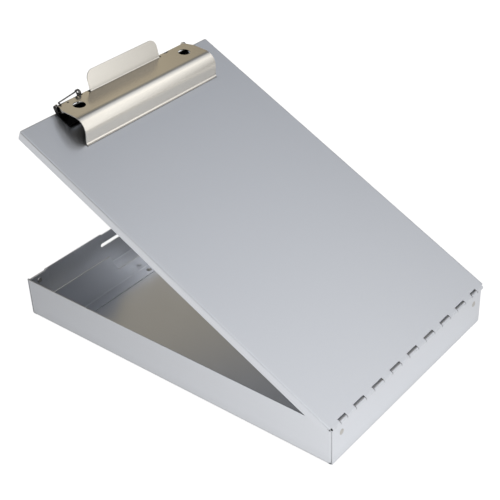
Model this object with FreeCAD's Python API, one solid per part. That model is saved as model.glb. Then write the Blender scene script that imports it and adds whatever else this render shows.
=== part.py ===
import FreeCAD
import Part
import math
import os
from FreeCAD import Vector

# Storage clipboard in aluminium sheet, with a steel spring clip. Millimetres.
# X runs across the board, +Y towards the clip end, +Z up. The origin is the centre of the tray's underside.
# The lid is drawn shut and then turned about the hinge pin to its rest position.

# ---- tray
SHEET = 0.9                     # aluminium gauge of tray, lid and divider
TRAY_WIDTH = 228.6
TRAY_LENGTH = 339.4
WALL_TOP = 37.9                 # top edge of the side walls
BASE_BEND = 1.8                 # outer radius of the folds along the base
TAB_LENGTH = 24.0               # side-wall tabs folded behind the end walls
TAB_GAP = 0.05                  # between a corner tab and the end wall it is riveted to
END_WALL_INSET = 0.6            # end walls stop this far short of the side faces
TAB_BEND_SPARE = 0.5            # flat of a corner tab past its bend, where it joins the side wall
TAB_FOOT_GAP = 0.4              # between a corner tab's lower edge and the base fold
BACK_STEP = 1.1                 # how much lower the back wall is in its middle and at its ends
BACK_RAISED = (20.3, 93.3)      # half-width range of the back wall's two full-height stretches
BACK_CORNER = 1.2               # full-height part of the back wall beside each side wall
LATCH_SLOT = (21.9, 23.3, 27.3)  # half width, lower and upper edge of the slot in the back wall

# ---- rivets: head, shank and tail are radii
RIVET_SHANK = 1.6
RIVET_HEAD_HEIGHT = 0.9
RIVET_TAIL_HEIGHT = 0.7
CORNER_RIVET_X = 101.6
FRONT_RIVET_Z = 26.0
BACK_RIVET_Z = 31.0
CORNER_RIVET_HEAD = 2.7
CORNER_RIVET_TAIL = 2.3

# ---- hinge
PIN_RADIUS = 1.05
PIN_CLEARANCE = 0.05
PIN_HALF_LENGTH = 111.5         # its ends stand back inside the end knuckles
PIN_CHAMFER = 0.25
HINGE_INSET = 0.45              # pin centre behind the outer face of the hinge-end wall
HINGE_HEIGHT = 36.9
SLOT_PITCH = 25.7               # lid slots that show the tray's tongues
SLOT_WIDTH = 14.0
SLOT_DEPTH = 2.6
END_SLOT_CENTRE = 100.1
END_SLOT_WIDTH = 9.4
TONGUE_GAP = 0.45               # between a tongue and the side of its slot
TONGUE_FOOT = 2.0               # how far a tongue overlaps the end wall that it stands on
KNUCKLE_CLEARANCE = 0.4         # between a knuckle and the sheet that it turns past
CURL_GAP = (1.5, 0.3)           # room between the curl's free edge and the board: length and height
REST_OPENING = 27.25            # degrees

# ---- lid
LID_OVERHANG = 3.0              # past each side of the tray
LID_LENGTH = 349.6              # from above the pin to the clip-end edge
FLANGE_DEPTH = 8.5
FLANGE_START = 1.0
FOLD_RADIUS = 1.3               # outer radius of the lid's folds
FLANGE_SNIP = (2.5, 4.0)        # cut off the hinge-end tips of the side flanges: length and height

# ---- pen divider
DIVIDER_Y = 304.5               # from the hinge-end wall
DIVIDER_TOP = 37.3
DIVIDER_LOW = 18.0
DIVIDER_CUTOUT = (34.0, 42.5)   # half width at the foot and at the top of the finger cut-out
DIVIDER_CUTOUT_RADIUS = 5.0
DIVIDER_END_GAP = 0.1           # to each side wall
DIVIDER_FOOT = 12.0
DIVIDER_RIVET_INSET = 6.6       # from the divider's face
DIVIDER_RIVETS_X = (-85.0, 0.0, 85.0)

# ---- latch
LATCH_SHEET = 0.6
LATCH_HALF_WIDTH = 20.0
LATCH_LEAF_Y = 337.2            # outer face of the leaf, from the hinge-end wall
LATCH_NOSE = 2.9                # how far the nose stands out of the leaf
LATCH_BRACKET_Y = 320.0
LATCH_LEAF_TOP = 36.6
LATCH_LEAF_FOOT = 19.5
LATCH_RIVET_X = 13.0
LATCH_RIVET_Y = 325.0
LATCH_RIVET = (2.6, 2.3)        # head and tail
LATCH_RIVET_HEIGHTS = (0.7, 0.5)
LATCH_FOOT_TURN = (3.0, 2.5)    # how far the leaf's foot turns in and down
LATCH_JOIN_GAP = 0.1            # between bracket and leaf
LATCH_BEND = 1.0
LATCH_NOSE_BEND = 0.7
LATCH_FOOT_BEND = 2.0

# ---- clip, in board coordinates: s along the board from above the pin, h above the board's face
CLIP_X = 4.4                    # the clip sits a little to the right of the board's centre line
STEEL = 0.8
PLATE = 0.9
ROD_S = 350.9
ROD_H = 4.77
ROD_RADIUS = 1.2
ROD_FIT = 0.02
ROD_HEAD = 1.9
ROD_HEAD_HEIGHT = 0.7
ROD_HEAD_OVERLAP = 0.5
JAW_FOOT_S = 308.9
JAW_HALF_WIDTH = 83.35
JAW_FRONT_SLOPE = 67.6          # degrees, front of the jaw against the board
JAW_BACK_SLOPE = 21.4           # degrees, flat of the jaw, falling to the rear edge
JAW_CREST_RADIUS = 12.5         # round the crest, between the front and the flat
JAW_REAR = (351.0, 7.1)
JAW_TOE = 1.8                   # outward lip along the jaw's foot
JAW_TOE_RADIUS = 1.6
JAW_TOE_RISE = 0.15             # of the lip's free edge above its bend
JAW_GAP = 0.05                  # between the jaw's foot and the board
JAW_TAPER = 4.0                 # narrowing of each end towards the rear edge
JAW_TAPER_START = 342.5
JAW_CORNER = 1.5
JAW_HOLE_RADIUS = 5.6
JAW_HOLE_X = 66.5
JAW_HOLE_S = 339.4
JAW_NOTCH = (51.6, 57.2, 349.2)  # in the rear edge, clearing the spring: from, to, and depth line
JAW_SLOT_RADIUS = 0.7           # inner corners of the notches and of the tab's reliefs
JAW_DOT = (70.2, 348.6, 1.05)   # small hole near the left rear corner: x, s and radius
JAW_EAR_X = 80.3
JAW_EAR_RADIUS = 2.6
JAW_EAR_BORE_FIT = 0.05
JAW_EAR_FRONT_S = 338.0
JAW_EAR_REAR_S = 348.8
JAW_EAR_LOW = (344.5, 3.4)      # lower front corner of the ear
JAW_EAR_JOINS = (41.0, 240.0)   # degrees round the rod where the ear's edges meet its round end
TAB_HALF_WIDTH = 43.6
TAB_ROOT_S = 348.3              # fold line at the foot of the tab
TAB_RELIEF = 1.8                # width of the relief cut at each end of the fold
TAB_RELIEF_DEPTH = 0.8
TAB_HEIGHT = 17.8
TAB_LEAN = 39.0                 # degrees backwards from square to the board
TAB_CORNER = 8.0
TAB_BEND = 0.8
TAB_ROOT_LAP = 6.0              # how far the tab's sheet runs into the flat
BASE_HALF_WIDTH = 82.0
BASE_FRONT_S = 331.4
BASE_REAR_S = 346.6
BASE_LIP = 2.2
BASE_LIP_RUN = (1.2, 0.6)       # lip edge before, and bend after, the front line
BASE_BEND_RADIUS = 1.2
BASE_EAR_RADIUS = 2.2
BASE_EAR_SPAN = (4.5, 1.4)      # foot of the ear before and behind the plate's rear edge
CLIP_RIVET_S = 335.4
CLIP_RIVETS_X = (-66.5, -30.0, 30.0, 66.5)
CLIP_RIVET = (2.8, 2.2)         # head and tail

# ---- spring
WIRE_RADIUS = 0.6
COIL_RADIUS = 2.3
COIL_TURNS = 1.75
COIL_PITCH = 1.32
COIL_S = 352.55
COIL_H = 8.75
COIL_OUTER_X = 56.0             # outer end of the coil, from the clip's centre
ARM_BEND = 0.7
FOOT_BEND = 1.0
ARM_DROP = 1.4                  # from the coil's axis down to where the arm turns along the edge
ARM_CORNER = (77.8, 352.3, 7.8)  # where the arm turns forward over the jaw's rear edge: x, s and h
ARM_TIP_S = 348.9               # end of the arm's tip, lying on the jaw's flat
ARM_GAP = 0.03                  # between the tip and the flat
FOOT_OUT = 1.7                  # how far the foot runs back from under the coil before it turns down
FOOT_END = (350.3, -4.5)        # s and h of the foot's end, against the board's end flange

# ---- cutting tools
OVERCUT = 1.0                   # how far a cutting block stands out past the sheet it cuts
BORE_REACH = 3.0                # half length of a rivet hole's cylinder
TRIM_HEIGHT = 30.0              # of the blocks that trim the jaw, from the board up
TRIM_REACH = 5.0                # of those blocks, past the jaw's ends and rear edge
CLOSE = 0.01                    # two lengths that differ by less are the same

# ---- worked out
HALF_WIDTH = TRAY_WIDTH / 2
FRONT_Y = -TRAY_LENGTH / 2
BACK_Y = TRAY_LENGTH / 2
HINGE_Y = FRONT_Y + HINGE_INSET
BARREL_RADIUS = PIN_RADIUS + PIN_CLEARANCE + SHEET
LID_TOP = HINGE_HEIGHT + BARREL_RADIUS
LID_HALF_WIDTH = HALF_WIDTH + LID_OVERHANG
KNUCKLE_ZONE = BARREL_RADIUS + KNUCKLE_CLEARANCE
TAB_INNER = SHEET + TAB_GAP
SLOTS = [(k * SLOT_PITCH, SLOT_WIDTH) for k in range(-3, 4)]
SLOTS += [(-END_SLOT_CENTRE, END_SLOT_WIDTH), (END_SLOT_CENTRE, END_SLOT_WIDTH)]


# ---- small helpers
def box(x0, x1, y0, y1, z0, z1):
    return Part.makeBox(x1 - x0, y1 - y0, z1 - z0, Vector(x0, y0, z0))


def rod_x(x0, x1, y, z, radius):
    return Part.makeCylinder(radius, x1 - x0, Vector(x0, y, z), Vector(1, 0, 0))


def joined(shapes):
    return shapes[0].multiFuse(shapes[1:]).removeSplitter()


def both_sides(shape, x=0.0):
    return [shape, shape.mirror(Vector(x, 0, 0), Vector(1, 0, 0))]


def in_yz(u, v):
    return Vector(0, u, v)


def in_xz(u, v):
    return Vector(u, 0, v)


def in_xy(u, v):
    return Vector(u, v, 0)


def square_to(plane):
    return {in_yz: Vector(1, 0, 0), in_xz: Vector(0, 1, 0), in_xy: Vector(0, 0, 1)}[plane]


def prism(points, plane, start, length):
    """Straight-sided outline in a plane, extruded square to it from start."""
    axis = square_to(plane)
    corners = [plane(*p) + axis * start for p in points]
    face = Part.Face(Part.makePolygon(corners + corners[:1]))
    return face.extrude(axis * length)


def unit(a, b):
    length = math.hypot(b[0] - a[0], b[1] - a[1])
    return ((b[0] - a[0]) / length, (b[1] - a[1]) / length)


def folded_sheet(points, radii, gauge, plane, start, length):
    """Folded strip of sheet. One face follows the points, with a fold of the given radius at each
    inner point; the other face lies gauge to the left of it (to the right if gauge is negative)."""
    def left(direction):
        return (-direction[1] * gauge, direction[0] * gauge)

    def shifted(point, offset):
        return (point[0] + offset[0], point[1] + offset[1])

    near, far = [], []
    at = points[0]
    for i, radius in enumerate(radii, start=1):
        before = unit(points[i - 1], points[i])
        after = unit(points[i], points[i + 1])
        turn = math.atan2(before[0] * after[1] - before[1] * after[0],
                          before[0] * after[0] + before[1] * after[1])
        reach = radius * math.tan(abs(turn) / 2)
        side = math.copysign(1, turn)
        fold_in = (points[i][0] - before[0] * reach, points[i][1] - before[1] * reach)
        fold_out = (points[i][0] + after[0] * reach, points[i][1] + after[1] * reach)
        centre = (fold_in[0] - before[1] * side * radius, fold_in[1] + before[0] * side * radius)
        outward = unit(centre, points[i])
        far_radius = radius - side * gauge
        middle = (centre[0] + outward[0] * radius, centre[1] + outward[1] * radius)
        far_middle = (centre[0] + outward[0] * far_radius, centre[1] + outward[1] * far_radius)
        near += [(at, fold_in), (fold_in, middle, fold_out)]
        far += [(shifted(at, left(before)), shifted(fold_in, left(before))),
                (shifted(fold_in, left(before)), far_middle, shifted(fold_out, left(after)))]
        at = fold_out
    last = unit(points[-2], points[-1])
    near.append((at, points[-1]))
    far.append((shifted(at, left(last)), shifted(points[-1], left(last))))
    outline = near + [(near[-1][-1], far[-1][-1])] + [edge[::-1] for edge in reversed(far)]
    outline.append((far[0][0], near[0][0]))
    axis = square_to(plane)
    edges = []
    for edge in outline:
        ends = [plane(*p) + axis * start for p in edge]
        if len(ends) == 3:
            edges.append(Part.Arc(*ends).toShape())
        else:
            edges.append(Part.makeLine(*ends))
    return Part.Face(Part.Wire(edges)).extrude(axis * length)


def rivet(base, direction, grip, head_radius, tail_radius, head_height=RIVET_HEAD_HEIGHT,
          tail_height=RIVET_TAIL_HEIGHT, shank_radius=RIVET_SHANK):
    """Domed head standing out against direction, a shank through the grip, and a flat upset tail."""
    direction = Vector(direction)
    dome_radius = (head_radius ** 2 + head_height ** 2) / (2 * head_height)
    dome = Part.makeSphere(dome_radius, base + direction * (dome_radius - head_height))
    brim = Part.makeCylinder(head_radius, head_height, base - direction * head_height, direction)
    parts = [dome.common(brim), Part.makeCylinder(shank_radius, grip, base, direction)]
    if tail_height:
        parts.append(Part.makeCylinder(tail_radius, tail_height, base + direction * grip, direction))
    return joined(parts)


def opened(shape):
    """Turns a lid piece from shut to its rest position."""
    turned = shape.copy()
    turned.rotate(Vector(0, HINGE_Y, HINGE_HEIGHT), Vector(1, 0, 0), REST_OPENING)
    return turned


def on_board(s, h):
    return (HINGE_Y + s, LID_TOP + h)


# ---- tray
def tray_folds():
    """Base with the four walls folded up from it, and the corner tabs folded behind the end walls."""
    inset = HALF_WIDTH - END_WALL_INSET
    side_start = FRONT_Y + TAB_INNER + BASE_BEND
    side_end = BACK_Y - TAB_INNER - BASE_BEND
    across = folded_sheet(
        [(-HALF_WIDTH, WALL_TOP), (-HALF_WIDTH, 0), (HALF_WIDTH, 0), (HALF_WIDTH, WALL_TOP)],
        [BASE_BEND, BASE_BEND], SHEET, in_xz, side_start, side_end - side_start)
    parts = [across]
    for end, sign in ((FRONT_Y, 1), (BACK_Y, -1)):
        inner_y = end + sign * (2 * BASE_BEND + TAB_INNER)
        parts.append(folded_sheet(
            [(end, WALL_TOP), (end, 0), (inner_y, 0)],
            [BASE_BEND], sign * SHEET, in_yz, -inset, 2 * inset))
        tab_y = end + sign * TAB_INNER
        root_y = tab_y + sign * (BASE_BEND + TAB_BEND_SPARE)
        foot_z = BASE_BEND + TAB_FOOT_GAP
        for side in (-1, 1):
            corner = side * HALF_WIDTH
            parts.append(folded_sheet(
                [(corner, root_y), (corner, tab_y), (corner - side * TAB_LENGTH, tab_y)],
                [BASE_BEND], -side * sign * SHEET, in_xy, foot_z, WALL_TOP - foot_z))
    return joined(parts)


def tongue_ring(centre, width):
    """Tray tongue rolled right round the pin, standing on the end wall."""
    x0 = centre - width / 2 + TONGUE_GAP
    x1 = centre + width / 2 - TONGUE_GAP
    ring = rod_x(x0, x1, HINGE_Y, HINGE_HEIGHT, BARREL_RADIUS)
    foot_z = HINGE_HEIGHT - KNUCKLE_ZONE - TONGUE_FOOT
    wall = box(x0, x1, FRONT_Y, FRONT_Y + SHEET, foot_z, HINGE_HEIGHT)
    return ring.fuse(wall)


def back_wall_cuts():
    """Steps in the back wall's top edge, through the wall and its corner tabs, and the latch's slot."""
    inner_y = BACK_Y - 2 * SHEET - TAB_GAP - OVERCUT
    step_z = WALL_TOP - BACK_STEP
    raised_from, raised_to = BACK_RAISED
    outer_y = BACK_Y + OVERCUT
    above = WALL_TOP + OVERCUT
    middle = box(-raised_from, raised_from, inner_y, outer_y, step_z, above)
    end = box(raised_to, HALF_WIDTH - SHEET - BACK_CORNER, inner_y, outer_y, step_z, above)
    half, low, high = LATCH_SLOT
    slot_round = (high - low) / 2
    straight = half - slot_round
    slot = box(-straight, straight, inner_y, outer_y, low, high)
    round_end = Part.makeCylinder(slot_round, outer_y - inner_y,
                                  Vector(straight, inner_y, low + slot_round), Vector(0, 1, 0))
    return [middle, slot] + both_sides(end) + both_sides(round_end)


def make_tray():
    room = KNUCKLE_ZONE
    hinge_room = box(-HALF_WIDTH - OVERCUT, HALF_WIDTH + OVERCUT, FRONT_Y - OVERCUT, HINGE_Y + room,
                     HINGE_HEIGHT - room, WALL_TOP + OVERCUT)
    tray = tray_folds().cut([hinge_room] + back_wall_cuts())
    tray = joined([tray] + [tongue_ring(centre, width) for centre, width in SLOTS])
    bores = [rod_x(-HALF_WIDTH, HALF_WIDTH, HINGE_Y, HINGE_HEIGHT, PIN_RADIUS + PIN_CLEARANCE)]
    for x, y, z in corner_rivet_places():
        start = Vector(x, y - BORE_REACH, z)
        bores.append(Part.makeCylinder(RIVET_SHANK, 2 * BORE_REACH, start, Vector(0, 1, 0)))
    bores += [rivet_bore(x, divider_rivet_y(), 0) for x in DIVIDER_RIVETS_X]
    return tray.cut(bores)


def rivet_bore(x, y, z):
    """Upright rivet hole through the sheets near height z."""
    return Part.makeCylinder(RIVET_SHANK, 2 * BORE_REACH, Vector(x, y, z - BORE_REACH))


def corner_rivet_places():
    return [(side * CORNER_RIVET_X, y, z)
            for y, z in ((FRONT_Y, FRONT_RIVET_Z), (BACK_Y, BACK_RIVET_Z)) for side in (-1, 1)]


def make_corner_rivets():
    rivets = []
    for x, y, z in corner_rivet_places():
        inward = (0, 1, 0) if y < 0 else (0, -1, 0)
        rivets.append(rivet(Vector(x, y, z), inward, 2 * SHEET + TAB_GAP,
                            CORNER_RIVET_HEAD, CORNER_RIVET_TAIL))
    return Part.makeCompound(rivets)


# ---- pen divider
def divider_rivet_y():
    return FRONT_Y + DIVIDER_Y - DIVIDER_RIVET_INSET


def make_divider():
    y = FRONT_Y + DIVIDER_Y
    half = HALF_WIDTH - SHEET - DIVIDER_END_GAP
    strip = folded_sheet([(y + SHEET, DIVIDER_TOP), (y + SHEET, SHEET), (y - DIVIDER_FOOT, SHEET)],
                         [BASE_BEND], -SHEET, in_yz, -half, 2 * half)
    foot, top = DIVIDER_CUTOUT
    above = DIVIDER_TOP + OVERCUT
    opening = prism([(-foot, DIVIDER_LOW), (foot, DIVIDER_LOW), (top, above), (-top, above)],
                    in_xz, y - OVERCUT, SHEET + 2 * OVERCUT)
    corners = [edge for edge in opening.Edges
               if edge.BoundBox.YLength > SHEET and abs(edge.BoundBox.ZMax - DIVIDER_LOW) < CLOSE]
    fold_relief = box(-half - OVERCUT, -half + BASE_BEND, y - DIVIDER_FOOT - OVERCUT, y + SHEET + OVERCUT,
                      0, 2 * BASE_BEND)
    cuts = [opening.makeFillet(DIVIDER_CUTOUT_RADIUS, corners)] + both_sides(fold_relief)
    cuts += [rivet_bore(x, divider_rivet_y(), 0) for x in DIVIDER_RIVETS_X]
    return strip.cut(cuts)


def make_divider_rivets():
    grip = 2 * SHEET
    return Part.makeCompound([rivet(Vector(x, divider_rivet_y(), grip), (0, 0, -1), grip,
                                    CORNER_RIVET_HEAD, 0, tail_height=0) for x in DIVIDER_RIVETS_X])


# ---- lid
def lid_sheet():
    """Board with flanges folded down at both sides and at the clip end."""
    start = HINGE_Y + FLANGE_START
    end = HINGE_Y + LID_LENGTH
    under = LID_TOP - FLANGE_DEPTH
    half = LID_HALF_WIDTH
    across = folded_sheet([(-half, under), (-half, LID_TOP), (half, LID_TOP), (half, under)],
                          [FOLD_RADIUS, FOLD_RADIUS], -SHEET, in_xz, start, end - FOLD_RADIUS - start)
    end_half = half - FOLD_RADIUS
    along = folded_sheet([(end - 3 * FOLD_RADIUS, LID_TOP), (end, LID_TOP), (end, under)],
                         [FOLD_RADIUS], -SHEET, in_yz, -end_half, 2 * end_half)
    length, height = FLANGE_SNIP
    snip = prism([(start - OVERCUT, under - OVERCUT), (start + length, under - OVERCUT),
                  (start - OVERCUT, under + height)], in_yz, -half - OVERCUT, 2 * (half + OVERCUT))
    return joined([across, along]).cut(snip)


def lid_knuckles():
    """Board edge rolled over and round the pin, the whole width, before the slots are cut."""
    ring = rod_x(-HALF_WIDTH, HALF_WIDTH, HINGE_Y, HINGE_HEIGHT, BARREL_RADIUS)
    web = box(-HALF_WIDTH, HALF_WIDTH, HINGE_Y, HINGE_Y + FLANGE_START + SHEET, LID_TOP - SHEET, LID_TOP)
    return [ring, web]


def make_lid():
    lid = joined([lid_sheet()] + lid_knuckles())
    cuts = [rod_x(-LID_HALF_WIDTH, LID_HALF_WIDTH, HINGE_Y, HINGE_HEIGHT, PIN_RADIUS + PIN_CLEARANCE)]
    clear = BARREL_RADIUS + OVERCUT
    for centre, width in SLOTS:
        cuts.append(box(centre - width / 2, centre + width / 2, HINGE_Y - clear, HINGE_Y + SLOT_DEPTH,
                        HINGE_HEIGHT - clear, HINGE_HEIGHT + clear))
    curl_end = HINGE_Y + PIN_RADIUS
    gap_length, gap_height = CURL_GAP
    under = LID_TOP - SHEET
    cuts.append(box(-LID_HALF_WIDTH, LID_HALF_WIDTH, curl_end, curl_end + gap_length,
                    under - gap_height, under))
    cuts += [rivet_bore(CLIP_X + x, HINGE_Y + CLIP_RIVET_S, LID_TOP) for x in CLIP_RIVETS_X]
    cuts += [rivet_bore(x, FRONT_Y + LATCH_RIVET_Y, LID_TOP) for x in (-LATCH_RIVET_X, LATCH_RIVET_X)]
    return opened(lid.cut(cuts))


def make_hinge_pin():
    pin = rod_x(-PIN_HALF_LENGTH, PIN_HALF_LENGTH, HINGE_Y, HINGE_HEIGHT, PIN_RADIUS)
    ends = [edge for edge in pin.Edges if edge.BoundBox.XLength < CLOSE]
    return pin.makeChamfer(PIN_CHAMFER, ends)


# ---- latch under the lid
def latch_rivets():
    return [rivet(Vector(x, FRONT_Y + LATCH_RIVET_Y, LID_TOP), (0, 0, -1), SHEET + LATCH_SHEET,
                  *LATCH_RIVET, *LATCH_RIVET_HEIGHTS) for x in (-LATCH_RIVET_X, LATCH_RIVET_X)]


def make_latch_bracket():
    under = LID_TOP - SHEET
    y0 = FRONT_Y + LATCH_BRACKET_Y
    y1 = FRONT_Y + LATCH_LEAF_Y
    strip = folded_sheet([(y0, under), (y1, under), (y1, LATCH_LEAF_TOP + LATCH_JOIN_GAP)], [LATCH_BEND],
                         -LATCH_SHEET, in_yz, -LATCH_HALF_WIDTH, 2 * LATCH_HALF_WIDTH)
    bores = [rivet_bore(x, FRONT_Y + LATCH_RIVET_Y, under) for x in (-LATCH_RIVET_X, LATCH_RIVET_X)]
    return opened(strip.cut(bores))


def make_latch_leaf():
    """Springy leaf with a folded nose that enters the slot, and a foot turned inwards."""
    y = FRONT_Y + LATCH_LEAF_Y
    slot_z = (LATCH_SLOT[1] + LATCH_SLOT[2]) / 2
    turn_in, turn_down = LATCH_FOOT_TURN
    leaf = folded_sheet(
        [(y, LATCH_LEAF_TOP), (y, slot_z + LATCH_NOSE), (y + LATCH_NOSE, slot_z), (y, slot_z - LATCH_NOSE),
         (y, LATCH_LEAF_FOOT), (y - turn_in, LATCH_LEAF_FOOT - turn_down)],
        [LATCH_BEND, LATCH_NOSE_BEND, LATCH_BEND, LATCH_FOOT_BEND], -LATCH_SHEET,
        in_yz, -LATCH_HALF_WIDTH, 2 * LATCH_HALF_WIDTH)
    return opened(leaf)


# ---- clip
def clip_rivets():
    return [rivet(Vector(CLIP_X + x, HINGE_Y + CLIP_RIVET_S, LID_TOP + PLATE), (0, 0, -1), PLATE + SHEET,
                  *CLIP_RIVET) for x in CLIP_RIVETS_X]


def rod_axis():
    return on_board(ROD_S, ROD_H)


def make_base_plate():
    front = on_board(BASE_FRONT_S, 0)[0]
    rear = on_board(BASE_REAR_S, 0)[0]
    before, after = BASE_LIP_RUN
    plate = folded_sheet([(front - before, LID_TOP + BASE_LIP), (front + after, LID_TOP), (rear, LID_TOP)],
                         [BASE_BEND_RADIUS], PLATE, in_yz, CLIP_X - BASE_HALF_WIDTH, 2 * BASE_HALF_WIDTH)
    y, z = rod_axis()
    reach = BASE_EAR_RADIUS * math.sqrt(0.5)
    foot_front, foot_rear = BASE_EAR_SPAN
    outline = [(rear - foot_front, LID_TOP), (rear + foot_rear, LID_TOP),
               (y + reach, z - reach), (y - reach, z + reach)]
    x0, x1 = CLIP_X - BASE_HALF_WIDTH, CLIP_X + BASE_HALF_WIDTH
    ear = prism(outline, in_yz, x0, PLATE).fuse(rod_x(x0, x0 + PLATE, y, z, BASE_EAR_RADIUS))
    plate = joined([plate] + both_sides(ear, CLIP_X))
    bores = [rivet_bore(CLIP_X + x, HINGE_Y + CLIP_RIVET_S, LID_TOP) for x in CLIP_RIVETS_X]
    bores.append(rod_x(x0 - OVERCUT, x1 + OVERCUT, y, z, ROD_RADIUS + ROD_FIT))
    return opened(plate.cut(bores))


def make_rod():
    y, z = rod_axis()
    outer = BASE_HALF_WIDTH
    rod = rod_x(CLIP_X - outer, CLIP_X + outer, y, z, ROD_RADIUS)
    head = rivet(Vector(CLIP_X - outer, y, z), (1, 0, 0), ROD_HEAD_OVERLAP, ROD_HEAD, 0,
                 ROD_HEAD_HEIGHT, 0, ROD_RADIUS)
    return opened(joined([rod] + both_sides(head, CLIP_X)))


def flat_h(s):
    """Height of the outer face of the jaw's flat."""
    return JAW_REAR[1] + (JAW_REAR[0] - s) * math.tan(math.radians(JAW_BACK_SLOPE))


def jaw_sheet():
    """Front, rounded crest and flat of the jaw, as one rolled sheet with a lip along its foot."""
    foot_s, foot_h = JAW_FOOT_S, STEEL + JAW_GAP
    rise = math.tan(math.radians(JAW_FRONT_SLOPE))
    fall = math.tan(math.radians(JAW_BACK_SLOPE))
    apex_s = foot_s + (flat_h(foot_s) - foot_h) / (rise + fall)
    toe = (foot_s - JAW_TOE, foot_h + JAW_TOE_RISE)
    outline = (toe, (foot_s, foot_h), (apex_s, flat_h(apex_s)), JAW_REAR)
    return folded_sheet([on_board(*p) for p in outline], [JAW_TOE_RADIUS, JAW_CREST_RADIUS], -STEEL, in_yz,
                        CLIP_X - JAW_HALF_WIDTH, 2 * JAW_HALF_WIDTH)


def jaw_trim():
    """What is cut from the jaw's ends and rear edge: tapers, rounded corners, notches, the tab's room."""
    outer_x = CLIP_X - JAW_HALF_WIDTH
    corner_x = outer_x + JAW_TAPER
    corner_y = HINGE_Y + JAW_REAR[0]
    past_x = outer_x - TRIM_REACH
    past_y = corner_y + TRIM_REACH
    end = prism([(past_x, HINGE_Y + JAW_TAPER_START), (outer_x, HINGE_Y + JAW_TAPER_START),
                 (corner_x, corner_y), (corner_x, past_y), (past_x, past_y)], in_xy, LID_TOP, TRIM_HEIGHT)
    round_x, round_y = corner_x + JAW_CORNER, corner_y - JAW_CORNER
    corner = box(past_x, round_x, round_y, past_y, LID_TOP, LID_TOP + TRIM_HEIGHT)
    corner = corner.cut(Part.makeCylinder(JAW_CORNER, TRIM_HEIGHT, Vector(round_x, round_y, LID_TOP)))
    inner, outer, notch_s = JAW_NOTCH
    cuts = both_sides(end, CLIP_X) + both_sides(corner, CLIP_X)
    cuts += both_sides(rounded_slot(-outer, -inner, notch_s), CLIP_X)
    room = TAB_HALF_WIDTH + TAB_RELIEF
    cuts.append(rounded_slot(-room, room, TAB_ROOT_S - TAB_RELIEF_DEPTH))
    return cuts


def rounded_slot(x0, x1, start_s):
    """Block that cuts a slot into the jaw's rear edge, with rounded inner corners."""
    start_y = HINGE_Y + start_s
    block = box(CLIP_X + x0, CLIP_X + x1, start_y, HINGE_Y + JAW_REAR[0] + TRIM_REACH,
                LID_TOP, LID_TOP + TRIM_HEIGHT)
    inner_corners = [edge for edge in block.Edges
                     if edge.BoundBox.XLength < CLOSE and abs(edge.BoundBox.YMax - start_y) < CLOSE]
    return block.makeFillet(JAW_SLOT_RADIUS, inner_corners)


def jaw_tab():
    """Thumb tab, bent up from the rear of the flat, with rounded top corners."""
    fall = math.radians(JAW_BACK_SLOPE)
    lean = math.radians(TAB_LEAN)
    fold = (TAB_ROOT_S, flat_h(TAB_ROOT_S))
    root = (fold[0] - TAB_ROOT_LAP * math.cos(fall), fold[1] + TAB_ROOT_LAP * math.sin(fall))
    tip = (fold[0] + TAB_HEIGHT * math.sin(lean), fold[1] + TAB_HEIGHT * math.cos(lean))
    sheet = folded_sheet([on_board(*p) for p in (root, fold, tip)], [TAB_BEND], -STEEL, in_yz,
                         CLIP_X - TAB_HALF_WIDTH, 2 * TAB_HALF_WIDTH)
    tip_z = on_board(*tip)[1]
    corners = [edge for edge in sheet.Edges
               if edge.BoundBox.XLength < CLOSE and abs(edge.Length - STEEL) < CLOSE
               and edge.BoundBox.ZMax > tip_z - STEEL]
    return sheet.makeFillet(TAB_CORNER, corners)


def jaw_ear():
    """Flap bent down from the end of the flat, with the hole for the rod at its rear corner."""
    y, z = rod_axis()

    def under_flat(s):
        return on_board(s, flat_h(s) - STEEL / 2)

    def round_rod(angle):
        turn = math.radians(angle)
        return (y + JAW_EAR_RADIUS * math.cos(turn), z + JAW_EAR_RADIUS * math.sin(turn))

    outline = [under_flat(JAW_EAR_FRONT_S), under_flat(JAW_EAR_REAR_S), round_rod(JAW_EAR_JOINS[0]),
               round_rod(JAW_EAR_JOINS[1]), on_board(*JAW_EAR_LOW)]
    x0 = CLIP_X - JAW_EAR_X
    return prism(outline, in_yz, x0, STEEL).fuse(rod_x(x0, x0 + STEEL, y, z, JAW_EAR_RADIUS))


def flat_bore(x, s, radius):
    """Cylinder square to the jaw's flat, through its outer face at x and s."""
    fall = math.radians(JAW_BACK_SLOPE)
    square_to_flat = Vector(0, math.sin(fall), math.cos(fall))
    centre = Vector(CLIP_X + x, *on_board(s, flat_h(s)))
    return Part.makeCylinder(radius, 3 * STEEL, centre - square_to_flat * 2 * STEEL, square_to_flat)


def make_jaw():
    y, z = rod_axis()
    sheet = jaw_sheet().cut(jaw_trim())
    jaw = joined([sheet, jaw_tab()] + both_sides(jaw_ear(), CLIP_X))
    dot_x, dot_s, dot_radius = JAW_DOT
    bores = [rod_x(CLIP_X - JAW_HALF_WIDTH, CLIP_X + JAW_HALF_WIDTH, y, z, ROD_RADIUS + JAW_EAR_BORE_FIT)]
    bores += [flat_bore(x, JAW_HOLE_S, JAW_HOLE_RADIUS) for x in (-JAW_HOLE_X, JAW_HOLE_X)]
    bores.append(flat_bore(-dot_x, dot_s, dot_radius))
    return opened(jaw.cut(bores))


# ---- spring
def rounded_path(points, radius):
    """Edges along the points, with an arc of the given radius at each inner one."""
    edges = []
    at = points[0]
    for before, corner, after in zip(points, points[1:], points[2:]):
        way_in = (corner - before).normalize()
        way_out = (after - corner).normalize()
        reach = radius * math.tan(way_in.getAngle(way_out) / 2)
        arc_start = corner - way_in * reach
        arc_end = corner + way_out * reach
        inward = (way_out - way_in).normalize()
        centre = corner + inward * math.hypot(radius, reach)
        edges.append(Part.makeLine(at, arc_start))
        edges.append(Part.Arc(arc_start, centre - inward * radius, arc_end).toShape())
        at = arc_end
    return edges + [Part.makeLine(at, points[-1])]


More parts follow.
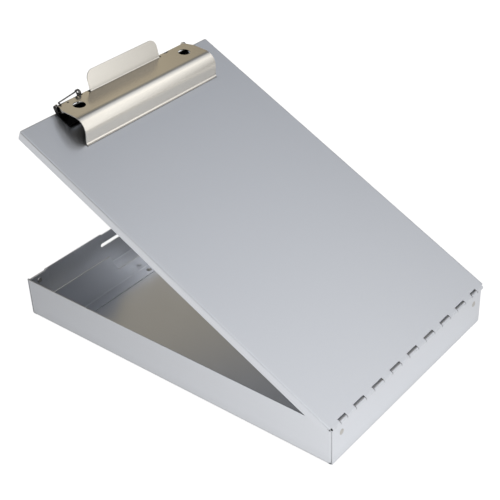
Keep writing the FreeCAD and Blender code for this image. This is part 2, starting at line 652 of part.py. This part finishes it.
def make_spring():
    """Torsion spring behind the jaw's left wing. Its arm runs out along the rear edge, turns forward over
    the corner and presses on the flat; its foot passes behind the rod and rests on the board's end flange.
    Drawn about its own Z axis, with X up, Y to the front and Z inwards along the rod."""
    helix = Part.makeHelix(COIL_PITCH, COIL_TURNS * COIL_PITCH, COIL_RADIUS)
    helix.rotate(Vector(), Vector(0, 0, 1), -90)
    first, last = helix.Edges[0], helix.Edges[-1]
    start, start_way = first.valueAt(first.FirstParameter), first.tangentAt(first.FirstParameter)
    end, end_way = last.valueAt(last.LastParameter), last.tangentAt(last.LastParameter)

    def own(x, s, h):
        return Vector(h - COIL_H, COIL_S - s, COIL_OUTER_X - x)

    above_flat = (WIRE_RADIUS + ARM_GAP) / math.cos(math.radians(JAW_BACK_SLOPE))
    tip = own(ARM_CORNER[0], ARM_TIP_S, flat_h(ARM_TIP_S) + above_flat)
    arm = rounded_path([tip, own(*ARM_CORNER), start - start_way * ARM_DROP, start], ARM_BEND)
    turn_down = end + end_way * FOOT_OUT
    foot_end = own(COIL_OUTER_X - turn_down.z, *FOOT_END)
    foot = rounded_path([end, turn_down, foot_end], FOOT_BEND)
    path = Part.Wire(arm + helix.Edges + foot)
    profile = Part.Wire(Part.makeCircle(WIRE_RADIUS, arm[0].valueAt(0), arm[0].tangentAt(0)))
    spring = path.makePipeShell([profile], True, False)
    y, z = on_board(COIL_S, COIL_H)
    spring.Placement = FreeCAD.Placement(
        FreeCAD.Matrix(0, 0, 1, CLIP_X - COIL_OUTER_X, 0, -1, 0, y, 1, 0, 0, z, 0, 0, 0, 1))
    return opened(spring)


# ---- every node of the clipboard
def make_nodes():
    return {
        "tray": make_tray(),
        "tray_corner_rivets": make_corner_rivets(),
        "pen_divider": make_divider(),
        "divider_rivets": make_divider_rivets(),
        "hinge_pin": make_hinge_pin(),
        "lid": make_lid(),
        "latch_bracket": make_latch_bracket(),
        "latch_leaf": make_latch_leaf(),
        "latch_rivets": opened(Part.makeCompound(latch_rivets())),
        "clip_base_plate": make_base_plate(),
        "clip_rivets": opened(Part.makeCompound(clip_rivets())),
        "clip_rod": make_rod(),
        "clip_jaw": make_jaw(),
        "clip_spring": make_spring(),
    }


os.makedirs("parts", exist_ok=True)
for node, shape in make_nodes().items():
    shape.exportStep(os.path.join("parts", node + ".step"))
    print(node, len(shape.Solids), "solids", shape.isValid(), round(shape.Volume, 1), "mm3")
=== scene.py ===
import math

import bpy
from mathutils import Matrix, Vector


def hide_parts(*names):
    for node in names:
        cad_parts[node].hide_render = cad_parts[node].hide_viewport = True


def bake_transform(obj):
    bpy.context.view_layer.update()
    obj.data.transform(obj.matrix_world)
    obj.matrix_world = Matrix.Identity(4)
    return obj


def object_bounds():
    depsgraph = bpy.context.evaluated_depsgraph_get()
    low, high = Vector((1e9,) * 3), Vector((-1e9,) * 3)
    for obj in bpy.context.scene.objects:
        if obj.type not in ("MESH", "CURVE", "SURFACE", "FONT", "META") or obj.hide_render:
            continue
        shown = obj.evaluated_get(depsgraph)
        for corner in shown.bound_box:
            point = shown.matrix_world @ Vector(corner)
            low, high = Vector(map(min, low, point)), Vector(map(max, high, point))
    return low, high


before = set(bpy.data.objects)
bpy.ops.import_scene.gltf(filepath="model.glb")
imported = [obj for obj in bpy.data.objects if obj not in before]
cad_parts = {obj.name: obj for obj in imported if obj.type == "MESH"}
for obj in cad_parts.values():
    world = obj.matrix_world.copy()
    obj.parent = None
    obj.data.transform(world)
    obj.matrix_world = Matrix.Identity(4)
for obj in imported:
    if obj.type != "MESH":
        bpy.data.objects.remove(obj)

# Looks of the storage clipboard. Metres, in the CAD model's frame.

cad_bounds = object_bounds()
MM = 0.001

# ---- camera: where it aims, as shares of the object's box, and where it stands round that point
AIM_SHARE = (0.5, 0.4967, 0.3302)
CAMERA_AZIMUTH = -50.01
CAMERA_ELEVATION = 33.08
CAMERA_ROLL = -2.58
CAMERA_DISTANCE = 0.9766
CAMERA_LENS = 80.06
CAMERA_SENSOR = 36.0
CAMERA_NEAR = 0.01

# ---- the room, by the X and Y parts of a direction
# Colour against the Y part: front light, grey overhead, dark gap, warm wall, grey low at the back.
ROOM_TONES = [(-1.0, (1.10, 1.10, 1.10)), (-0.65, (1.10, 1.10, 1.10)), (-0.40, (1.24, 1.24, 1.24)),
              (-0.02, (0.69, 0.71, 0.75)), (0.12, (0.16, 0.18, 0.21)), (0.26, (0.23, 0.22, 0.20)),
              (0.45, (0.43, 0.385, 0.30)), (0.62, (0.43, 0.385, 0.30)), (0.76, (0.34, 0.35, 0.37)),
              (1.0, (0.34, 0.35, 0.37))]
ROOM_LIGHT = 1.26
ROOM_FADE = (0.54, 0.74, 1.0, 0.22)     # it dims to the right: X parts from and to, share at each
ROOM_FADE_LIFT = 0.12                   # how much later every dimming starts straight overhead
ROOM_STRIP = 0.42                       # X part of the middle of a dim strip
ROOM_STRIP_FADE = (0.04, 0.09, 0.25, 1.0)   # distances from that middle, share at each
ROOM_LEFT = (0.08, 0.36, 0.68, 1.0)     # it is a little dimmer left of the strip

# ---- the paper floor's glow in mirror images: two places along an axis, and the glow at each
PAPER_TO_BACK = (-0.2, 0.3, 0.70, 0.22)
PAPER_TO_RIGHT = (-0.12, 0.30, 1.0, 0.66)
PAPER_FAR_LEFT = (-0.30, -0.16, 0.35, 0.0)
PAPER_SEEN = 0.90                       # glow where the camera sees it directly
PAPER_GREY = 0.33
FLOOR_HALF = 0.75
FLOOR_GAP = 0.05 * MM                   # below the object's lowest point

# ---- sheet metal: pattern, worn edges with a painted highlight, and painted shade in crevices and under the clip
STREAK_SCALE = 1400.0
STREAK_STRETCH = 0.02                   # of the pattern's scale, along the rolling direction
SPECKLE_SCALE = 3200.0
CLOUD_SCALE = 14.0
PATTERN_SWING = 0.08                    # pattern value at which the tone is at its lightest
TONE_SWING = 0.06                       # how much lighter and darker that makes the metal
PATTERN_ROUGHNESS = 0.9
WORN_COSINE = (0.72, 0.99)              # between bevelled and flat normals: fully worn, not worn
# worn edges: lighter partly from rubbing and partly as a painted highlight along every edge
WORN_HIGHLIGHT_SHARE = 0.5
WORN_HIGHLIGHT_TONE = 1.25
# painted shade: tone of faces that point sideways inside the clip
SIDE_SHADE_TONE = 0.05
# painted shade: the tone that crevices and the inside of the clip darken towards
HIDDEN_SHADE_TONE = 0.01
HIDDEN_SHADE_FADE = 0.5                       # open share between clean and fully in painted shade
BUMP_HEIGHT = 0.1 * MM
BEVEL_SAMPLES = 4
OPEN_SHARE_SAMPLES = 8

ALUMINIUM = (0.80, 0.82, 0.86)
NICKEL = (0.80, 0.765, 0.70)
# the base plate's nickel, darkened as painted shade for the plate inside the clip
PLATE_SHADED_NICKEL = (0.34, 0.33, 0.32)
STEEL = (0.62, 0.61, 0.59)
DARK_STEEL = (0.18, 0.177, 0.172)
RIVET_METAL = (0.60, 0.585, 0.56)
# painted reflection: how bright each metal shows in mirror images on other surfaces
GREY_PAINTED_REFLECTION = (0.80, 0.80, 0.80)
WARM_PAINTED_REFLECTION = (0.30, 0.28, 0.25)
DARK_PAINTED_REFLECTION = (0.20, 0.19, 0.17)
# painted shade: reach and open share for darkening crevices and the space under the clip
CREVICE_SHADE = (25 * MM, 0.6)
UNDER_CLIP_SHADE = (40 * MM, 1.0)
FINE_EDGE = 0.10 * MM
SMALL_EDGE = 0.15 * MM
RAW_EDGE = {"edge": 0.45 * MM, "edge_gloss": -0.3, "edge_dull": 0.7}

WELD_DISTANCE = 0.001 * MM


# ---- node helpers
class Shader:
    """Short way to add and link nodes in one material or world."""

    def __init__(self, owner):
        owner.use_nodes = True
        self.tree = owner.node_tree
        self.tree.nodes.clear()

    def put(self, socket, value):
        """Links the input to an output, or gives it a plain value."""
        if isinstance(value, bpy.types.NodeSocket):
            self.tree.links.new(value, socket)
        else:
            socket.default_value = value

    def add(self, kind, values=None, **settings):
        node = self.tree.nodes.new(kind)
        for key, value in settings.items():
            setattr(node, key, value)
        for key, value in (values or {}).items():
            self.put(node.inputs[key], value)
        return node

    def math(self, operation, a, b=0.0, c=0.0):
        return self.add("ShaderNodeMath", {0: a, 1: b, 2: c}, operation=operation).outputs[0]

    def vector(self, operation, a, b):
        return self.add("ShaderNodeVectorMath", {0: a, 1: b}, operation=operation)

    def remap(self, value, low, high, to_low, to_high, smooth=False):
        node = self.add("ShaderNodeMapRange", {"Value": value, "From Min": low, "From Max": high,
                                               "To Min": to_low, "To Max": to_high})
        node.interpolation_type = "SMOOTHSTEP" if smooth else "LINEAR"
        return node.outputs["Result"]

    def noise(self, vector, scale, detail, roughness):
        node = self.add("ShaderNodeTexNoise", {"Vector": vector, "Scale": scale, "Detail": detail,
                                               "Roughness": roughness})
        return node.outputs["Fac"]

    def stretched(self, factors):
        """The piece's own coordinates, times the factors: a small one stretches a pattern that way."""
        where = self.add("ShaderNodeTexCoord").outputs["Object"]
        return self.add("ShaderNodeMapping", {"Vector": where, "Scale": factors}).outputs["Vector"]

    def mix(self, factor, a, b):
        """Colour a where the factor is 0, colour b where it is 1."""
        node = self.add("ShaderNodeMix", data_type="RGBA")
        for place, value in ((0, factor), (6, a), (7, b)):
            self.put(node.inputs[place], value)
        return node.outputs[2]


def shade(colour, factor):
    return tuple(min(1.0, channel * factor) for channel in colour) + (1.0,)


# ---- sheet metal
def rolled_pattern(s, grain_along, streaks, speckle, tarnish):
    """The streaks alone, and streaks, speckle and clouds together, as swings about zero."""
    along = (STREAK_STRETCH, 1.0, 1.0) if grain_along == "x" else (1.0, STREAK_STRETCH, 1.0)
    streak = s.noise(s.stretched(along), STREAK_SCALE, 4.0, 0.6)
    fine = s.noise(s.stretched((1.0, 1.0, 1.0)), SPECKLE_SCALE, 2.0, 0.7)
    cloud = s.noise(s.stretched((1.0, 1.0, 1.0)), CLOUD_SCALE, 3.0, 0.5)
    swings = [s.math("MULTIPLY", s.math("SUBTRACT", noise, 0.5), amount)
              for noise, amount in ((streak, streaks), (fine, speckle), (cloud, tarnish))]
    return streak, s.math("ADD", s.math("ADD", swings[0], swings[1]), swings[2])


def sheet_metal(name, colour, roughness, grain_along, edge=0.25 * MM, streaks=0.05, speckle=0.03,
                anisotropy=0.0, bump=0.02, tarnish=0.03, cavity_shade=None, painted_reflection=None, edge_gloss=0.12,
                edge_dull=0.0, side_shade=0.0):
    """Rolled metal: streaks along the rolling direction, a fine speckle, slow clouds and worn edges,
    lightened partly by rubbing and partly as a painted highlight.
    edge is how wide the worn edges are, edge_gloss how much smoother and edge_dull how much less
    like a mirror. cavity is a distance and an open share: where other sheet stands within the
    distance and leaves less than that share of the sky open, the metal is darkened as painted shade.
    echo is its brightness in mirror images on other surfaces, a painted reflection, and grime
    paints shade on the faces that point sideways."""
    material = bpy.data.materials.new(name)
    s = Shader(material)
    streak, pattern = rolled_pattern(s, grain_along, streaks, speckle, tarnish)
    bevel = s.add("ShaderNodeBevel", {"Radius": edge}, samples=BEVEL_SAMPLES).outputs[0]
    flat = s.add("ShaderNodeNewGeometry").outputs["Normal"]
    cosine = s.vector("DOT_PRODUCT", bevel, flat).outputs["Value"]
    wear_and_highlight = s.remap(cosine, *WORN_COSINE, 1.0, 0.0, smooth=True)
    tone = s.mix(s.remap(pattern, -PATTERN_SWING, PATTERN_SWING, 0.0, 1.0),
                 shade(colour, 1 - TONE_SWING), shade(colour, 1 + TONE_SWING))
    # edges lightened: partly rubbed metal, partly a painted highlight
    tone = s.mix(s.math("MULTIPLY", wear_and_highlight, WORN_HIGHLIGHT_SHARE), tone, shade(colour, WORN_HIGHLIGHT_TONE))
    # painted shade: faces pointing along X, the plate's ears and the rod's ends, darkened to stand for
    # the shade inside the clip
    if side_shade:
        facing = s.add("ShaderNodeSeparateXYZ", {"Vector": flat}).outputs["X"]
        sideways = s.math("ABSOLUTE", facing)
        tone = s.mix(s.math("MULTIPLY", sideways, side_shade), tone, shade(colour, SIDE_SHADE_TONE))
    # painted shade: metal darkened where little sky is open, in crevices and under the clip
    if cavity_shade:
        distance, clean = cavity_shade
        open_share = s.add("ShaderNodeAmbientOcclusion", {"Distance": distance},
                           samples=OPEN_SHARE_SAMPLES).outputs["AO"]
        shade_mask = s.remap(open_share, clean - HIDDEN_SHADE_FADE, clean, 1.0, 0.0, smooth=True)
        tone = s.mix(shade_mask, tone, shade(colour, HIDDEN_SHADE_TONE))
    # painted reflection: the tone is scaled where this surface is seen in another's mirror image
    if painted_reflection:
        mirrored = s.add("ShaderNodeLightPath").outputs["Is Glossy Ray"]
        tone = s.mix(mirrored, tone, s.vector("MULTIPLY", tone, painted_reflection).outputs[0])
    rough = s.math("ADD", s.math("MULTIPLY", pattern, PATTERN_ROUGHNESS), roughness)
    rough = s.math("SUBTRACT", rough, s.math("MULTIPLY", wear_and_highlight, edge_gloss))
    metallic = s.remap(wear_and_highlight, 0.0, 1.0, 1.0, 1.0 - edge_dull)
    normal = s.add("ShaderNodeBump", {"Strength": bump, "Distance": BUMP_HEIGHT, "Height": streak,
                                      "Normal": bevel}).outputs[0]
    body = s.add("ShaderNodeBsdfPrincipled", {"Base Color": tone, "Roughness": rough,
                                              "Metallic": metallic, "Normal": normal,
                                              "Anisotropic": anisotropy})
    if anisotropy:
        tangent = s.add("ShaderNodeTangent", direction_type="RADIAL", axis=grain_along.upper())
        s.put(body.inputs["Tangent"], tangent.outputs[0])
    s.add("ShaderNodeOutputMaterial", {"Surface": body.outputs[0]})
    return material


def finishes():
    """One material for each CAD node."""
    tray = sheet_metal("tray_sheet", ALUMINIUM, 0.38, "y", cavity_shade=CREVICE_SHADE, **RAW_EDGE)
    rivet = sheet_metal("rivet_head", RIVET_METAL, 0.30, "y", edge=SMALL_EDGE, streaks=0.02)
    wire = sheet_metal("spring_wire", DARK_STEEL, 0.26, "x", edge=FINE_EDGE, speckle=0.05)
    strip = sheet_metal("spring_strip", STEEL, 0.30, "x", edge=SMALL_EDGE)
    return {
        "tray": tray,
        "pen_divider": sheet_metal("divider_sheet", ALUMINIUM, 0.30, "x", cavity_shade=CREVICE_SHADE, **RAW_EDGE),
        "lid": sheet_metal("board_sheet", ALUMINIUM, 0.38, "y", speckle=0.05,
                           cavity_shade=(12 * MM, 0.65), painted_reflection=GREY_PAINTED_REFLECTION, **RAW_EDGE),
        "tray_corner_rivets": rivet,
        "divider_rivets": rivet,
        "latch_rivets": rivet,
        "hinge_pin": sheet_metal("pin_wire", STEEL, 0.35, "x", edge=FINE_EDGE),
        "latch_bracket": strip,
        "latch_leaf": strip,
        "clip_base_plate": sheet_metal("plate_nickel", PLATE_SHADED_NICKEL, 0.30, "x", edge=SMALL_EDGE,
                                       cavity_shade=UNDER_CLIP_SHADE, painted_reflection=DARK_PAINTED_REFLECTION, side_shade=0.9),
        "clip_rivets": sheet_metal("plate_rivet", STEEL, 0.28, "x", edge=SMALL_EDGE,
                                   cavity_shade=UNDER_CLIP_SHADE, painted_reflection=DARK_PAINTED_REFLECTION),
        "clip_rod": sheet_metal("rod_steel", DARK_STEEL, 0.24, "x", edge=SMALL_EDGE, side_shade=0.6),
        "clip_jaw": sheet_metal("jaw_nickel", NICKEL, 0.21, "x", edge=FINE_EDGE, streaks=0.22,
                                speckle=0.02, anisotropy=0.35, bump=0.03,
                                cavity_shade=(17 * MM, 0.75), painted_reflection=WARM_PAINTED_REFLECTION),
        "clip_spring": wire,
    }


def dress_frame():
    for node, material in finishes().items():
        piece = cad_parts[node]
        piece.data.materials.clear()
        piece.data.materials.append(material)


def close_rivet_poles():
    """Joins the points that meet at the tip of each domed head, so no empty face is left there."""
    for node in ("clip_rivets", "divider_rivets", "latch_rivets"):
        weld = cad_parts[node].modifiers.new("closed_poles", "WELD")
        weld.merge_threshold = WELD_DISTANCE


# ---- the spring, copied from the CAD spring
def winding_spring():
    """Stands for the CAD spring: a copy of its mesh, while the CAD piece is hidden."""
    piece = bpy.data.objects.new("wound_spring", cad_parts["clip_spring"].data.copy())
    bpy.context.scene.collection.objects.link(piece)
    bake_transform(piece)
    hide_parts("clip_spring")


# ---- studio
def floor_material():
    """Pale paper. Seen directly it is almost white; in mirror images it darkens towards the back."""
    material = bpy.data.materials.new("studio_paper")
    s = Shader(material)
    where = s.add("ShaderNodeNewGeometry").outputs["Position"]
    place = s.add("ShaderNodeSeparateXYZ", {"Vector": where}).outputs
    level = s.math("MULTIPLY_ADD", s.remap(place["Y"], *PAPER_TO_BACK),
                   s.remap(place["X"], *PAPER_TO_RIGHT), s.remap(place["X"], *PAPER_FAR_LEFT))
    seen = s.add("ShaderNodeLightPath").outputs["Is Camera Ray"]
    strength = s.add("ShaderNodeMix", {"Factor": seen, "A": level, "B": PAPER_SEEN})
    glow = s.add("ShaderNodeEmission", {"Color": (1.0, 1.0, 1.0, 1.0),
                                        "Strength": strength.outputs["Result"]})
    paper = s.add("ShaderNodeBsdfDiffuse", {"Color": (PAPER_GREY, PAPER_GREY, PAPER_GREY, 1.0)})
    both = s.add("ShaderNodeAddShader", {0: paper.outputs[0], 1: glow.outputs[0]})
    s.add("ShaderNodeOutputMaterial", {"Surface": both.outputs[0]})
    return material


def make_floor():
    half = FLOOR_HALF
    z = cad_bounds[0].z - FLOOR_GAP
    corners = [(-half, -half, z), (half, -half, z), (half, half, z), (-half, half, z)]
    mesh = bpy.data.meshes.new("floor")
    mesh.from_pydata(corners, [], [(0, 1, 2, 3)])
    floor = bpy.data.objects.new("floor", mesh)
    floor.data.materials.append(floor_material())
    bpy.context.scene.collection.objects.link(floor)


def room_ramp(s, fraction):
    """The room's colours, for a fraction that runs from the front of the room to the back."""
    ramp = s.add("ShaderNodeValToRGB", {"Fac": fraction})
    ramp.color_ramp.interpolation = "EASE"
    stops = ramp.color_ramp.elements
    for place, _ in ROOM_TONES[1:-1]:
        stops.new((place + 1) / 2)
    for stop, (place, colour) in zip(stops, ROOM_TONES):
        stop.position = (place + 1) / 2
        stop.color = colour + (1.0,)
    return ramp.outputs["Color"]


def make_world():
    """Large white light at the front, cool grey overhead and a warm dim wall at the back."""
    world = bpy.data.worlds.new("studio")
    bpy.context.scene.world = world
    s = Shader(world)
    where = s.add("ShaderNodeTexCoord").outputs["Generated"]
    way = s.add("ShaderNodeSeparateXYZ", {"Vector": where}).outputs
    colour = room_ramp(s, s.remap(way["Y"], -1.0, 1.0, 0.0, 1.0))
    lift = s.math("MULTIPLY", s.math("MAXIMUM", way["Z"], 0.0), ROOM_FADE_LIFT)
    sideways = s.math("SUBTRACT", way["X"], lift)
    from_strip = s.math("ABSOLUTE", s.math("SUBTRACT", sideways, ROOM_STRIP))
    dimming = s.math("MULTIPLY", s.remap(from_strip, *ROOM_STRIP_FADE, smooth=True),
                     s.remap(sideways, *ROOM_LEFT, smooth=True))
    dimming = s.math("MULTIPLY", s.remap(sideways, *ROOM_FADE, smooth=True), dimming)
    dimmed = s.add("ShaderNodeVectorMath", {0: colour, "Scale": dimming}, operation="SCALE")
    seen = s.add("ShaderNodeLightPath").outputs["Is Camera Ray"]
    shown = s.mix(seen, dimmed.outputs[0], (1.0, 1.0, 1.0, 1.0))
    back = s.add("ShaderNodeBackground", {"Color": shown, "Strength": ROOM_LIGHT})
    s.add("ShaderNodeOutputWorld", {"Surface": back.outputs[0]})


def make_camera():
    low, high = cad_bounds
    aim = Vector(low[i] + (high[i] - low[i]) * AIM_SHARE[i] for i in range(3))
    azimuth, elevation = math.radians(CAMERA_AZIMUTH), math.radians(CAMERA_ELEVATION)
    back = Vector((math.sin(azimuth) * math.cos(elevation),
                   -math.cos(azimuth) * math.cos(elevation), math.sin(elevation)))
    right = Vector((0.0, 0.0, 1.0)).cross(back).normalized()
    up = back.cross(right)
    turn = Matrix.Rotation(math.radians(CAMERA_ROLL), 3, back)
    camera = bpy.data.objects.new("camera", bpy.data.cameras.new("camera"))
    camera.data.lens = CAMERA_LENS
    camera.data.sensor_width = CAMERA_SENSOR
    camera.data.clip_start = CAMERA_NEAR
    pose = Matrix((turn @ right, turn @ up, back)).transposed().to_4x4()
    pose.translation = aim + back * CAMERA_DISTANCE
    camera.matrix_world = pose
    bpy.context.scene.collection.objects.link(camera)
    bpy.context.scene.camera = camera


bpy.context.scene.view_settings.view_transform = "Standard"
dress_frame()
close_rivet_poles()
winding_spring()
make_floor()
make_world()
make_camera()
